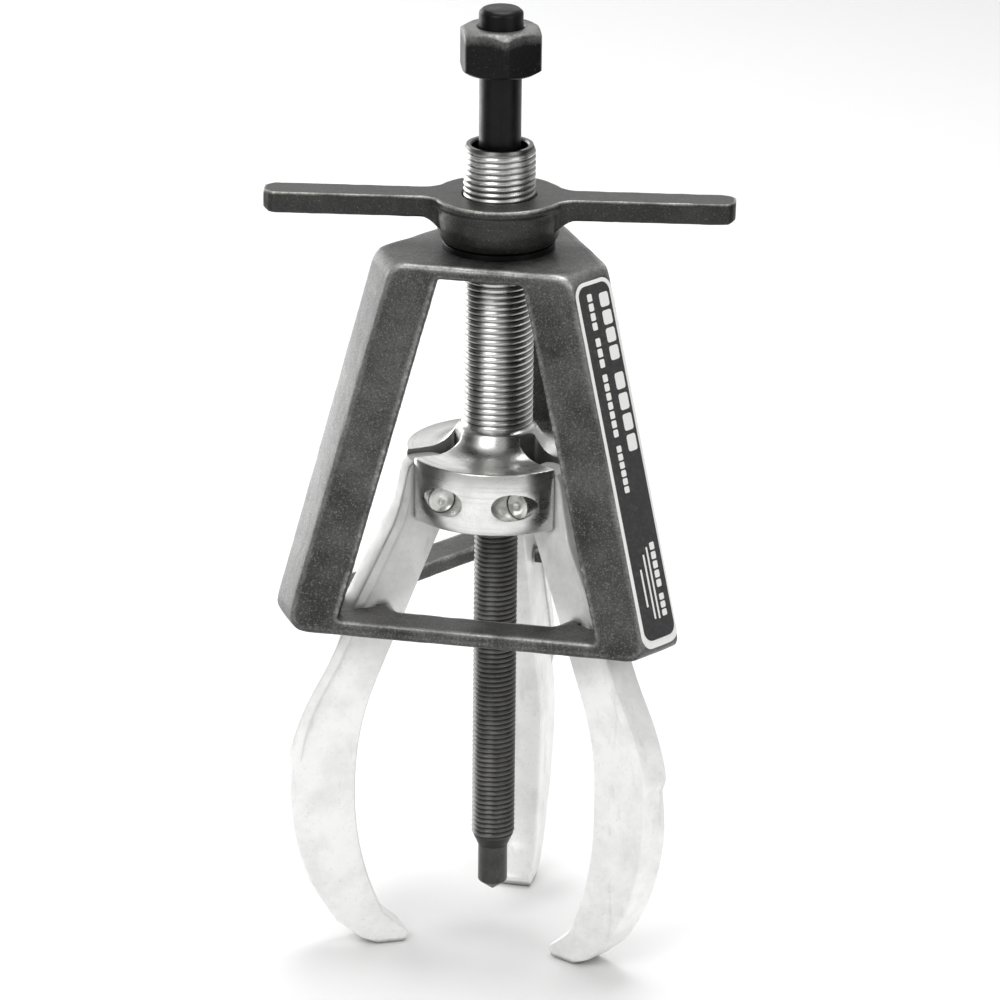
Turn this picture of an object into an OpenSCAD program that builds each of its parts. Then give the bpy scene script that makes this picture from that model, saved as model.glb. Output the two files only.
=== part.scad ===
// Three-jaw gear puller: a threaded tube with a slotted jaw head, three hooked jaws,
// a T-handle that screws along the tube and pushes a cage over the jaws, and a forcing screw.
// The jaws stand on z = 0 and the forcing screw's axis is Z.

/* [Forcing screw] */
// Radius over the screw thread
screw_r = 7.7; // [7:0.1:7.8]
// Radius of the plain shank
shank_r = 7.3; // [6.5:0.1:7.6]
// Height of the screw's top end
screw_top = 341; // [338:1:360]
// Height at which the thread ends inside the tube
thread_top = 262; // [250:1:275]
// Height of the screw's lower end face
screw_bottom = 31.7; // [28:0.1:36]
// Chamfer at the lower end of the thread
screw_chamfer = 5; // [3:0.5:6]

/* [Centre point] */
// Radius of the smooth point
point_r = 5.25; // [4:0.05:6]
// Length of the smooth cylinder of the point
point_len = 14; // [6:0.5:14]
// Height of the cone
cone_h = 4; // [4:0.5:9]
// Radius of the spigot inside the screw
spigot_r = 3; // [2.5:0.1:3.5]
// Length of the spigot
spigot_len = 12; // [10:0.5:20]

/* [Drive nut] */
// Size across the flats
nut_af = 26.4; // [24:0.1:28]
// Height of the nut's lower face
nut_bottom = 318.8; // [315:0.1:322]
// Thickness of the nut
nut_h = 15.8; // [12:0.1:17]

/* [Jaw head] */
// Radius of the slotted drum
drum_r = 31.8; // [31:0.1:32]
// Height of the drum's lower face
drum_bottom = 160.4; // [158:0.1:162]
// Height of the drum's rim
drum_top = 182.9; // [181:0.1:185]
// Radius over the tube thread
tube_r = 12.5; // [12:0.1:13]
// Radius of the turned-down top of the tube
tube_lead_r = 12.1; // [11.5:0.1:12.4]
// Height at which the tube is turned down
tube_lead_z = 277; // [270:1:285]
// Height of the tube's top
tube_top = 292.9; // [288:0.1:300]
// Width of the slots for the jaws
slot_w = 9.2; // [9:0.1:10]
// Radius that the slots are cut in to
slot_floor_r = 14; // [13:0.1:14.4]

/* [Jaws] */
// Distance of the pivot pins from the screw's axis
pivot_r = 25; // [24:0.1:26]
// Height of the pivot pins
pivot_z = 170.8; // [170:0.1:172]
// Radius of the pivot pins
pin_r = 4.76; // [4:0.01:4.8]
// Half of a pivot pin's length
pin_half = 16.6; // [15:0.1:20]
// Thickness of a jaw's web
web_w = 8.6; // [8:0.1:8.8]
// Width of a jaw's flange and of its lower half
flange_w = 12.4; // [11:0.1:13]
// Width of a jaw's tip
tip_w = 13; // [12.4:0.1:14]
// Distance of the hook's end from the screw's axis
hook_r = 33.6; // [32:0.1:36]

/* [Cage] */
// Distance of the top edge's sides from the axis
cage_top_d = 29.7; // [29:0.1:31]
// Distance of the top edge's cut corners from the axis
cage_top_corner = 41.9; // [39:0.1:42]
// Height of the cage's lower face
cage_bottom = 124.6; // [122:0.1:126]
// Height of the cage's top face
cage_top = 256.3; // [255:0.1:257]
// Thickness of the top plate
plate_t = 4.3; // [4:0.1:5]
// Thickness of the bottom ring
ring_t = 5.2; // [4.5:0.1:6]
// Thickness of the legs' walls
wall_t = 4.8; // [4:0.1:5.2]
// Distance of the ring's inner edges from the axis
ring_in_d = 32.3; // [32:0.1:34]

/* [T-handle] */
// Length of the handle from end to end
handle_len = 163; // [140:1:200]
// Width of an arm
arm_w = 13; // [11:0.5:15]
// Height of an arm
arm_h = 6.8; // [6:0.1:9]
// Radius of the hub
hub_r = 22.6; // [21:0.1:24]
// Height of the hub's top face
hub_top = 275; // [274:0.1:276]
// Angle between the arms and the X axis
handle_angle = 9; // [0:1:59]
// Radius of the neck that turns in the cage
neck_r = 16.5; // [15.5:0.1:16.8]

/* [Label] */
// Width of the label on the cage
label_w = 18.5; // [12:0.5:18.5]

/* [Hidden] */
$fn = 96;

run_gap = 0.08;         // running clearance on a radius
pin_gap = 0.09;         // running clearance of the pivot pins
spigot_gap = 0.06;      // running clearance of the point's spigot
face_gap = 0.05;        // gap between faces that turn against each other
back_az = 90;           // directions of the three jaws, seen from above
left_az = 210;
right_az = -30;
through = 1;            // how far a cutter runs past a face

screw_top_bevel = 1.5;
screw_end_r = point_r + 0.2;
spigot_bore_len = spigot_len + 1;
clip_z = 7;             // the spigot's clip, its groove and the groove around it in the screw
clip_t = 1;
clip_slot_t = 1.3;
clip_slot_r = spigot_r - 0.7;
clip_out_r = spigot_r + 0.7;
clip_gap = 1.2;

nut_corner_r = nut_af / sqrt(3);
nut_turn = -69;
nut_low_bevel = 1.9;
nut_high_bevel = 2.4;
nut_face_inset = [0.6, 1.2]; // how far inside the flats the lower and upper faces end

thread_floor = 240;     // height at which the tube's inner thread gives way to the wider bore
tube_bore_r = 9.8;
tube_bevel = 1;
drum_bevel = [0.8, 0.6]; // lower and upper edges of the drum
neck_blend = 9.2;       // height of the blend between the drum's cone and the tube
cone_top_r = 22;
cone_rise = 0.5;

hub_bottom = 258.3;
hub_low_r = 19;         // the hub swells from its lower face to its full radius
hub_mid = [21.2, 2.6];
hub_swell = 6.5;
hub_bevel = 1.2;
arm_root_r = tube_r + 4;
arm_end_w = arm_w * 0.6;
arm_blend = [18.6, 27]; // an arm is deeper between these distances from the axis
neck_bottom = 248.4;
snap_t = 1.4;           // snap ring and its groove
blend_step = 1;         // thickness of the slices that the arms' roots are blended from
snap_top = 250.3;
snap_groove_r = 15.4;
snap_out_r = 19;
snap_gap = 4;
washer_out_r = 19.5;
plate_gap = 0.1;        // clearance of the neck in the plate and the washer

side_slope = 0.137;     // how far the cage's sides and corners move out for each mm of height
corner_slope = 0.29;
corner_round = 3;       // rounding of the cage's upright edges
foot_in = [6, 2];       // the corners draw in at the foot: by how much, and at what heights
foot_up = [3, 8];
crown_in = [0.4, 2];    // the sides and the corners draw in at the top, over the last few mm
crown_down = 3;
sliver = 0.05;          // thickness of the slices that the cage is blended from
window_from = 22;       // the windows are cut outwards from this distance
window_top_half = 15.3;
window_slope = 0.25;
web_slot_half = 5.2;    // T-shaped slots for the jaws in the cage's ring
flange_slot_half = 7.4;
slot_step_r = 46.4;
slot_end_r = 60;
label_t = 0.25;
glue_t = 0.04;
ring_corner_r = 40.5;

bow_c = [-9, 62];       // outer curve of a jaw: an arc and the straight line that it runs into
bow_r = 85.7;
bow_lean = 26.5;
bow_end = -40;
inner_c = [-57.2, 58.9]; // inner curve of a jaw
inner_r = 109.9;
inner_lean = 22.8;
inner_end = -25.2;
hook_face_z = 4;        // lower end of the sloping face that grips
flange_proud = 1.2;     // the flange stands out of the curve and reaches into the web
flange_deep = 2.2;
flange_low = 75;        // heights of the flange's ends
flange_high = 160;
wide_below = 80;        // below this height the jaw is as wide as its flange
tip_below = 14;
jaw_top = 181.5;
nose_bevel = 1.2;       // bevel under the hook's nose
tip_flat_end = 45.5;     // outer end of the tip's flat underside, and the bevel that leads to the curve
tip_heel = [51.5, 3.4];
straight_top = [159, 168]; // heights at which the outer and inner sides turn into the eye
eye_back = [[34.9, 173], [33.4, 179.5], [31, jaw_top]];
eye_front = [[21, jaw_top], [16, 176]];
eye_r = 10.2;
arc_parts = 20;         // number of straight lines that a long curve is made of

// A cage side's distance from the axis at height z, and a cut corner's
function side_d(z) = cage_top_d + side_slope * (cage_top - z);
function corner_d(z) = cage_top_corner + corner_slope * (cage_top - z);
// A point on a circle, in the plane of a jaw: distance from the axis, then height
function on_arc(c, r, a) = [c[0] + r * cos(a), c[1] + r * sin(a)];
function arc(c, r, from, to) =
    [for (i = [0:arc_parts]) on_arc(c, r, from + (to - from) * i / arc_parts)];
// A point at height z on the tangent that leaves the circle at angle a
function on_line(c, r, a, z) =
    let (p = on_arc(c, r, a)) [p[0] - (z - p[1]) * tan(a), z];
// Triangle with cut corners: sides at distance d, corners at distance r, one corner at back_az
function cut_triangle(d, r) = [for (i = [0:2], side = [-1, 1])
    let (a = back_az + 120 * i, w = side * (2 * d - r) * tan(30))
    [r * cos(a) - w * sin(a), r * sin(a) + w * cos(a)]];

module screw_body() {
    difference() {
        union() {
            translate([0, 0, screw_bottom])
                cylinder(h = screw_chamfer, r1 = screw_end_r, r2 = screw_r);
            translate([0, 0, screw_bottom + screw_chamfer])
                cylinder(h = thread_top - screw_bottom - screw_chamfer, r = screw_r);
            translate([0, 0, thread_top]) cylinder(h = nut_bottom - thread_top, r = shank_r);
            translate([0, 0, nut_bottom])
                cylinder(h = screw_top - nut_bottom - screw_top_bevel, r = screw_r);
            translate([0, 0, screw_top - screw_top_bevel])
                cylinder(h = screw_top_bevel, r1 = screw_r, r2 = screw_r - screw_top_bevel);
        }
        translate([0, 0, screw_bottom - through])
            cylinder(h = spigot_bore_len + through, r = spigot_r + spigot_gap);
        translate([0, 0, screw_bottom + clip_z - face_gap])
            cylinder(h = clip_slot_t, r = clip_out_r + face_gap);
    }
}

module forcing_screw() { color([0.13, 0.13, 0.13]) screw_body(); }

module centre_point() {
    shoulder = screw_bottom - face_gap;
    groove = screw_bottom + clip_z - face_gap;
    color([0.3, 0.3, 0.31]) rotate_extrude() polygon([
        [0, shoulder - point_len - cone_h], [point_r, shoulder - point_len], [point_r, shoulder],
        [spigot_r, shoulder], [spigot_r, groove], [clip_slot_r, groove],
        [clip_slot_r, groove + clip_slot_t], [spigot_r, groove + clip_slot_t],
        [spigot_r, shoulder + spigot_len], [0, shoulder + spigot_len]]);
}

module ring(z, h, r_in, r_out) {
    translate([0, 0, z]) difference() {
        cylinder(h = h, r = r_out);
        translate([0, 0, -through]) cylinder(h = h + 2 * through, r = r_in);
    }
}

// A ring with a gap, so that it can be sprung into its groove
module split_ring(z, h, r_in, r_out, gap) {
    difference() {
        ring(z, h, r_in, r_out);
        translate([0, -gap / 2, z - through]) cube([r_out + through, gap, h + 2 * through]);
    }
}

module point_retaining_ring() {
    color([0.6, 0.6, 0.62])
        split_ring(screw_bottom + clip_z, clip_t, clip_slot_r + plate_gap, clip_out_r, clip_gap);
}

module drive_nut() {
    color([0.1, 0.1, 0.1]) difference() {
        intersection() {
            translate([0, 0, nut_bottom]) rotate(nut_turn)
                cylinder(h = nut_h, r = nut_corner_r, $fn = 6);
            translate([0, 0, nut_bottom]) rotate_extrude() polygon([
                [0, 0], [nut_af / 2 - nut_face_inset[0], 0], [nut_corner_r, nut_low_bevel],
                [nut_corner_r, nut_h - nut_high_bevel], [nut_af / 2 - nut_face_inset[1], nut_h],
                [0, nut_h]]);
        }
        translate([0, 0, nut_bottom - through]) cylinder(h = nut_h + 2 * through, r = screw_r);
    }
}

module jaw_head() {
    color([0.75, 0.75, 0.74]) difference() {
        rotate_extrude() polygon(concat(
            [[0, drum_bottom], [drum_r - drum_bevel[0], drum_bottom],
            [drum_r, drum_bottom + drum_bevel[0]], [drum_r, drum_top - drum_bevel[1]],
            [drum_r - drum_bevel[1], drum_top]],
            [for (a = [0:15:90]) [
                cone_top_r - (cone_top_r - tube_r) * sin(a),
                drum_top + cone_rise + neck_blend * (1 - cos(a))]],
            [[tube_r, tube_lead_z], [tube_lead_r, tube_lead_z],
            [tube_lead_r, tube_top - tube_bevel], [tube_lead_r - tube_bevel, tube_top],
            [0, tube_top]]));
        translate([0, 0, drum_bottom - through])
            cylinder(h = tube_top - drum_bottom + 2 * through, r = screw_r + run_gap);
        translate([0, 0, thread_floor])
            cylinder(h = tube_top - thread_floor + through, r = tube_bore_r);
        for (a = [left_az, right_az, back_az]) rotate(a) {
            translate([slot_floor_r, -slot_w / 2, drum_bottom - through])
                cube([drum_r, slot_w, tube_lead_z - drum_top]);
            translate([pivot_r, 0, pivot_z]) rotate([90, 0, 0])
                cylinder(h = 2 * drum_r, r = pin_r + pin_gap, center = true);
        }
    }
}

// One arm of the handle, with a blend under its root
module arm() {
    arm_len = handle_len / 2 - arm_root_r;
    translate([arm_root_r, 0, hub_top - arm_h]) {
        translate([0, -arm_w / 2, 0]) cube([arm_len - arm_w / 4, arm_w, arm_h]);
        translate([0, -arm_end_w / 2, 0]) cube([arm_len, arm_end_w, arm_h]);
    }
    hull() {
        translate([arm_blend[0], -arm_w / 2, hub_bottom + hub_swell])
            cube([blend_step, arm_w, hub_top - hub_bottom - hub_swell - hub_bevel]);
        translate([arm_blend[1], -arm_w / 2, hub_top - arm_h])
            cube([blend_step, arm_w, arm_h - hub_bevel]);
    }
}

module t_handle() {
    color([0.25, 0.25, 0.25]) difference() {
        union() {
            rotate_extrude() polygon([
                [0, hub_bottom], [hub_low_r, hub_bottom], [hub_mid[0], hub_bottom + hub_mid[1]],
                [hub_r, hub_bottom + hub_swell], [hub_r, hub_top - hub_bevel],
                [hub_r - hub_bevel, hub_top], [0, hub_top]]);
            translate([0, 0, neck_bottom]) cylinder(h = hub_bottom - neck_bottom, r = neck_r);
            for (side = [0, 180]) rotate(handle_angle + side) arm();
        }
        translate([0, 0, neck_bottom - through])
            cylinder(h = hub_top - neck_bottom + 2 * through, r = tube_r + run_gap);
        ring(snap_top - snap_t - face_gap, snap_t + 2 * face_gap, snap_groove_r, neck_r + through);
    }
}

module thrust_washer() {
    color([0.1, 0.1, 0.1])
        ring(cage_top, hub_bottom - cage_top - face_gap, neck_r + plate_gap, washer_out_r);
}

module neck_snap_ring() {
    color([0.5, 0.5, 0.5])
        split_ring(snap_top - snap_t, snap_t, snap_groove_r + face_gap, snap_out_r, snap_gap);
}

// Upright posts at the corners of a cut triangle, of the given rounding
module corner_posts(z, d, r, h) {
    for (p = cut_triangle(d - corner_round, r - corner_round))
        translate([p[0], p[1], z]) cylinder(h = h, r = corner_round, $fn = 32);
}

// A slice of the cage's outside at height z, with its sides and corners drawn in
module cage_slice(z, side_in, corner_in) {
    corner_posts(z, side_d(z) - side_in, corner_d(z) - corner_in, sliver);
}

module cage() {
    window_low = cage_bottom + ring_t;
    window_high = cage_top - plate_t;
    color([0.3, 0.3, 0.29]) difference() {
        hull() {
            cage_slice(cage_bottom, crown_in[0], foot_in[0]);
            cage_slice(cage_bottom + foot_up[0], 0, foot_in[1]);
            cage_slice(cage_bottom + foot_up[1], 0, 0);
            cage_slice(cage_top - crown_down, 0, 0);
            cage_slice(cage_top - sliver, crown_in[0], crown_in[1]);
        }
        hull() {
            translate([0, 0, window_low]) linear_extrude(sliver)
                polygon(cut_triangle(side_d(window_low) - wall_t, corner_d(window_low) - wall_t));
            translate([0, 0, window_high - sliver]) linear_extrude(sliver)
                polygon(cut_triangle(side_d(window_high) - wall_t, corner_d(window_high) - wall_t));
        }
        for (i = [0:2]) rotate(back_az + 180 + 120 * i) {
            low_half = window_top_half + window_slope * (window_high - window_low);
            translate([window_from, 0, 0]) rotate([90, 0, 90]) linear_extrude(cage_top_d) polygon([
                [-low_half, window_low], [low_half, window_low],
                [window_top_half, window_high], [-window_top_half, window_high]]);
        }
        translate([0, 0, cage_bottom - through]) linear_extrude(ring_t + 2 * through)
            polygon(cut_triangle(ring_in_d, ring_corner_r));
        for (a = [left_az, right_az, back_az]) rotate(a)
            translate([0, 0, cage_bottom - through]) linear_extrude(ring_t + 2 * through)
                polygon([[ring_in_d, -web_slot_half], [slot_step_r, -web_slot_half],
                    [slot_step_r, -flange_slot_half], [slot_end_r, -flange_slot_half],
                    [slot_end_r, flange_slot_half], [slot_step_r, flange_slot_half],
                    [slot_step_r, web_slot_half], [ring_in_d, web_slot_half]]);
        translate([0, 0, window_high - through])
            cylinder(h = plate_t + 2 * through, r = neck_r + plate_gap);
    }
}

// A strip along the outer face of the right-hand corner, bent over the foot's curve
module label() {
    face = [[corner_d(cage_bottom + foot_up[0]) - foot_in[1], cage_bottom + foot_up[0]],
        [corner_d(cage_bottom + foot_up[1]), cage_bottom + foot_up[1]],
        [corner_d(cage_top - crown_down), cage_top - crown_down]];
    inside = [for (p = face) p + [glue_t, 0]];
    outside = [for (i = [2:-1:0]) face[i] + [glue_t + label_t, 0]];
    color([0.08, 0.08, 0.08]) rotate(right_az) rotate([90, 0, 0])
        linear_extrude(label_w, center = true) polygon(concat(inside, outside));
}

// Outline of a whole jaw in its own plane: distance from the axis, then height
function jaw_outline() = concat(
    [[hook_r, hook_face_z], [hook_r, nose_bevel], [hook_r + nose_bevel, 0], [tip_flat_end, 0], tip_heel],
    arc(bow_c, bow_r, bow_end, bow_lean),
    [on_line(bow_c, bow_r, bow_lean, straight_top[0])], eye_back, eye_front,
    [on_line(inner_c, inner_r, inner_lean, straight_top[1])],
    arc(inner_c, inner_r, inner_lean, inner_end));

// The strip along a jaw's outer curve that makes its flange
function flange_outline() =
    let (out_r = bow_r + flange_proud, in_r = bow_r - flange_deep)
    let (low = asin((flange_low - bow_c[1]) / bow_r))
    concat([on_line(bow_c, in_r, bow_lean, flange_high), on_line(bow_c, out_r, bow_lean, flange_high)],
        arc(bow_c, out_r, bow_lean, low), arc(bow_c, in_r, low, bow_lean));

// An outline in a jaw's plane, w thick, between two heights
module jaw_slab(points, w, low, high) {
    intersection() {
        rotate([90, 0, 0]) linear_extrude(w, center = true) polygon(points);
        translate([0, -w, low]) cube([2 * bow_r, 2 * w, high - low]);
    }
}

module jaw(az) {
    color([0.86, 0.86, 0.84]) rotate(az) difference() {
        union() {
            jaw_slab(jaw_outline(), web_w, 0, jaw_top);
            jaw_slab(jaw_outline(), flange_w, 0, wide_below);
            jaw_slab(jaw_outline(), tip_w, 0, tip_below);
            jaw_slab(flange_outline(), flange_w, flange_low, flange_high);
            translate([pivot_r, 0, pivot_z]) rotate([90, 0, 0])
                cylinder(h = web_w, r = eye_r, center = true);
        }
        translate([pivot_r, 0, pivot_z]) rotate([90, 0, 0])
            cylinder(h = web_w + 2 * through, r = pin_r, center = true);
    }
}

// A pivot pin with a chamfer at each end
module pivot_pin(az) {
    chamfer = 0.8;
    color([0.7, 0.7, 0.7]) rotate(az) translate([pivot_r, 0, pivot_z]) rotate([90, 0, 0]) {
        cylinder(h = 2 * (pin_half - chamfer), r = pin_r, center = true);
        for (side = [0, 1]) mirror([0, 0, side]) translate([0, 0, pin_half - chamfer])
            cylinder(h = chamfer, r1 = pin_r, r2 = pin_r - chamfer);
    }
}

module jaw_left() { jaw(left_az); }
module jaw_right() { jaw(right_az); }
module jaw_back() { jaw(back_az); }
module pivot_pin_left() { pivot_pin(left_az); }
module pivot_pin_right() { pivot_pin(right_az); }
module pivot_pin_back() { pivot_pin(back_az); }

forcing_screw();
centre_point();
point_retaining_ring();
drive_nut();
jaw_head();
t_handle();
thrust_washer();
neck_snap_ring();
cage();
label();
jaw_left();
jaw_right();
jaw_back();
pivot_pin_left();
pivot_pin_right();
pivot_pin_back();
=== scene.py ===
import math

import bmesh
import bpy
from mathutils import Matrix, Vector, noise
from mathutils.bvhtree import BVHTree


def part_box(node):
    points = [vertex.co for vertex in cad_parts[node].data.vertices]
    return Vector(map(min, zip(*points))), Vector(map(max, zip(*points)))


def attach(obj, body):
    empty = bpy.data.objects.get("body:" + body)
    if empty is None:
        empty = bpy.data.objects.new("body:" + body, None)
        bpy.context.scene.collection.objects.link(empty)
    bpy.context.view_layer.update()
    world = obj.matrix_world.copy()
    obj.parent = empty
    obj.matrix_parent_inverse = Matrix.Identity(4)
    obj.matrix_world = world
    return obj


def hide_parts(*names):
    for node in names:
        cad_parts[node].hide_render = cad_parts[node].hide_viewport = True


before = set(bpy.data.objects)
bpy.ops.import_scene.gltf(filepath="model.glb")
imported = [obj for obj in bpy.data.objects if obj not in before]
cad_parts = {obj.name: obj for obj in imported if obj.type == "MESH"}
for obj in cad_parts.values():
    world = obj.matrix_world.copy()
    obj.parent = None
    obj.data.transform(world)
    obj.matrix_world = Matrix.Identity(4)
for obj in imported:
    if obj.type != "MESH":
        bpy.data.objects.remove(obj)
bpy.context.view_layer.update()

# A three-jaw gear puller. Shapes are worked out in millimetres, in the frame of the CAD model: the
# forcing screw's axis is Z, the jaw tips stand on z = 0 and the back jaw is towards +Y.
# new_piece() turns them into objects in metres.

MM = 0.001
TAU = 2 * math.pi
JAWS = {"left": 210, "right": -30, "back": 90}   # directions of the jaws, seen from above
WINDOWS = (270, 30, 150)                         # directions of the cage's windows
WELD = 0.004                                     # points closer than this become one
PIVOT_R, PIVOT_Z = 25.0, 170.8                   # the jaws' pivots: distance from the axis, height
PIN_R = 4.76                                     # radius of the pins


def low(node, axis=2):
    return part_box(node)[0][axis] / MM


def high(node, axis=2):
    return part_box(node)[1][axis] / MM


def polar(r, degrees, z=0.0):
    a = math.radians(degrees)
    return Vector((r * math.cos(a), r * math.sin(a), z))


def blend(a, b, t):
    return a + (b - a) * t


def smooth(t):
    t = min(max(t, 0.0), 1.0)
    return t * t * (3 - 2 * t)


# ---------------------------------------------------------------- meshes

def grid(rows, wrap=True):
    """A mesh of quads between rows of points; wrap joins each row's last point to its first."""
    bm = bmesh.new()
    verts = [[bm.verts.new(p) for p in row] for row in rows]
    count = len(rows[0])
    for a, b in zip(verts, verts[1:]):
        for i in range(count if wrap else count - 1):
            j = (i + 1) % count
            bm.faces.new((a[i], a[j], b[j], b[i]))
    return bm


def tidy(bm):
    """Welds the points that coincide and turns all faces outwards."""
    bmesh.ops.remove_doubles(bm, verts=bm.verts, dist=WELD)
    bmesh.ops.dissolve_degenerate(bm, edges=bm.edges, dist=WELD / 2)
    bmesh.ops.recalc_face_normals(bm, faces=bm.faces)
    return bm


def lathe(profile, steps=96):
    """A solid of revolution from a closed outline of (radius, height) points."""
    rows = []
    for i in range(steps):
        c, s = math.cos(TAU * i / steps), math.sin(TAU * i / steps)
        rows.append([(r * c, r * s, z) for r, z in profile])
    return tidy(grid(rows + [rows[0]]))


def hull(points):
    """The convex solid round these points."""
    bm = bmesh.new()
    for p in points:
        bm.verts.new(p)
    bmesh.ops.remove_doubles(bm, verts=bm.verts, dist=0.001)
    out = bmesh.ops.convex_hull(bm, input=bm.verts)
    spare = {g for g in out["geom_interior"] + out["geom_unused"] if isinstance(g, bmesh.types.BMVert)}
    bmesh.ops.delete(bm, geom=list(spare), context="VERTS")
    bmesh.ops.recalc_face_normals(bm, faces=bm.faces)
    return bm


def capped(rows):
    """A closed solid from rings of points, with a flat face over each end."""
    bm = grid(rows)
    bm.verts.ensure_lookup_table()
    count = len(rows[0])
    bm.faces.new([bm.verts[i] for i in range(count)])
    bm.faces.new([bm.verts[len(bm.verts) - 1 - i] for i in range(count)])
    return tidy(bm)


def prism(outline, depth):
    """An outline of (x, y) points, from z = 0 to z = depth."""
    return capped([[(x, y, z) for x, y in outline] for z in (0, depth)])


def pivot_bore(radius, half):
    """A cylinder along the pivot of a jaw that points to +X, reaching half to each side."""
    return capped([[(PIVOT_R + radius * math.cos(TAU * i / 48), y, PIVOT_Z + radius * math.sin(TAU * i / 48))
                    for i in range(48)] for y in (-half, half)])


def moved(bm, matrix):
    bmesh.ops.transform(bm, matrix=matrix, verts=bm.verts)
    return bm


def turned(bm, degrees):
    return moved(bm, Matrix.Rotation(math.radians(degrees), 4, "Z"))


def joined(*parts):
    """Several meshes in one, with the spare ones freed."""
    out = parts[0]
    for part in parts[1:]:
        mesh = bpy.data.meshes.new("part")
        part.to_mesh(mesh)
        part.free()
        out.from_mesh(mesh)
        bpy.data.meshes.remove(mesh)
    return out


def with_modifier(bm, kind, **settings):
    """The mesh after one modifier."""
    mesh = bpy.data.meshes.new("work")
    bm.to_mesh(mesh)
    bm.free()
    piece = bpy.data.objects.new("work", mesh)
    bpy.context.collection.objects.link(piece)
    modifier = piece.modifiers.new(kind, kind)
    for key, value in settings.items():
        setattr(modifier, key, value)
    out = bmesh.new()
    out.from_object(piece, bpy.context.evaluated_depsgraph_get())
    bpy.data.objects.remove(piece)
    bpy.data.meshes.remove(mesh)
    return out


def combined(bm, others, operation):
    """The mesh with others cut out of it or added to it."""
    for other in others:
        mesh = bpy.data.meshes.new("tool")
        other.to_mesh(mesh)
        other.free()
        tool = bpy.data.objects.new("tool", mesh)
        bpy.context.collection.objects.link(tool)
        bm = with_modifier(bm, "BOOLEAN", operation=operation, object=tool, solver="MANIFOLD")
        bpy.data.objects.remove(tool)
        bpy.data.meshes.remove(mesh)
    return bm


def forged(bm, voxel, rounds):
    """Overlapping solids made one, with all their edges softened."""
    bm = with_modifier(bm, "REMESH", mode="VOXEL", voxel_size=voxel)
    return with_modifier(bm, "SMOOTH", factor=0.5, iterations=rounds)


def roughened(bm, size, depth):
    """Waves of this size and depth over a surface."""
    bm.normal_update()
    for v in bm.verts:
        v.co += v.normal * depth * noise.noise(v.co / size)


def soften_edges(bm, width, steps, test, angle):
    """Rounds the edges that are sharper than this angle and whose middles pass a test."""
    bm.normal_update()
    edges = [e for e in bm.edges if len(e.link_faces) == 2 and e.calc_face_angle(0) > math.radians(angle)
             and test((e.verts[0].co + e.verts[1].co) / 2)]
    bmesh.ops.bevel(bm, geom=edges, offset=width, segments=steps, affect="EDGES", profile=0.5,
                    clamp_overlap=True)


def mark_wear_and_highlight(bm, reach=2, gain=7.0):
    """Stores how far each point stands out of its surroundings: up to 1 on outer edges that face up or
    sideways, 0 on flats, in hollows and underneath. Edges that face up get the most, so the mark is wear plus
    painted highlight."""
    layer = bm.verts.layers.float.new("wear_and_highlight")
    bm.normal_update()
    value = {}
    for v in bm.verts:
        rim = [e.other_vert(v).co for e in v.link_edges]
        middle = sum(rim, Vector()) / len(rim)
        length = sum((p - v.co).length for p in rim) / len(rim)
        value[v] = (v.co - middle).dot(v.normal) / max(length, 1e-6)
    for _ in range(reach):
        value = {v: (value[v] + sum(value[e.other_vert(v)] for e in v.link_edges)) / (1 + len(v.link_edges))
                 for v in bm.verts}
    for v in bm.verts:
        # edges that face up count most and undersides not at all: painted highlight on top of the wear
        upward = min(max(0.35 + 1.6 * v.normal.z, 0.0), 1.0)
        v[layer] = min(max(value[v] * gain * upward, 0.0), 1.0)


def new_piece(name, bm, body, replaces, materials, flat_angle=35):
    """A Blender object from a mesh in millimetres, shaded smooth except across sharp edges."""
    mesh = bpy.data.meshes.new(name)
    bmesh.ops.recalc_face_normals(bm, faces=bm.faces)
    bmesh.ops.scale(bm, vec=(MM, MM, MM), verts=bm.verts)
    bm.normal_update()
    for face in bm.faces:
        face.smooth = True
    for edge in bm.edges:
        edge.smooth = len(edge.link_faces) != 2 or edge.calc_face_angle(0) < math.radians(flat_angle)
    bm.to_mesh(mesh)
    bm.free()
    for material in materials:
        mesh.materials.append(material)
    piece = bpy.data.objects.new(name, mesh)
    bpy.context.collection.objects.link(piece)
    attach(piece, body)
    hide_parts(*replaces)
    return piece


# ---------------------------------------------------------------- threads

def thread_rows(z0, z1, pitch, shape, crest, root, floor, ceiling, steps):
    """Rings of points up a right-hand screw thread, held between floor(z) and ceiling(z). The shape
    gives the depth of the thread, from 0 to 1, at points along its pitch."""
    rows = []
    for turn in range(-1, int((z1 - z0) / pitch) + 2):
        for along, depth in shape:
            row = []
            for i in range(steps + 1):
                z = z0 + pitch * (turn + along + i / steps)
                z = min(max(z, z0), z1)
                r = min(max(blend(crest, root, depth), floor(z)), ceiling(z))
                a = TAU * i / steps
                row.append((r * math.cos(a), r * math.sin(a), z))
            rows.append(row)
    return rows


def threaded(z0, z1, below, above, **thread):
    """A closed solid: a thread between two heights, and (radius, height) points below and above it."""
    rows = thread_rows(z0, z1, **thread)
    steps = len(rows[0]) - 1

    def ring(r, z):
        return [(r * math.cos(TAU * i / steps), r * math.sin(TAU * i / steps), z) for i in range(steps + 1)]

    rows = [ring(r, z) for r, z in below] + rows + [ring(r, z) for r, z in above]
    return tidy(grid(rows, wrap=False))


# ---------------------------------------------------------------- materials

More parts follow.
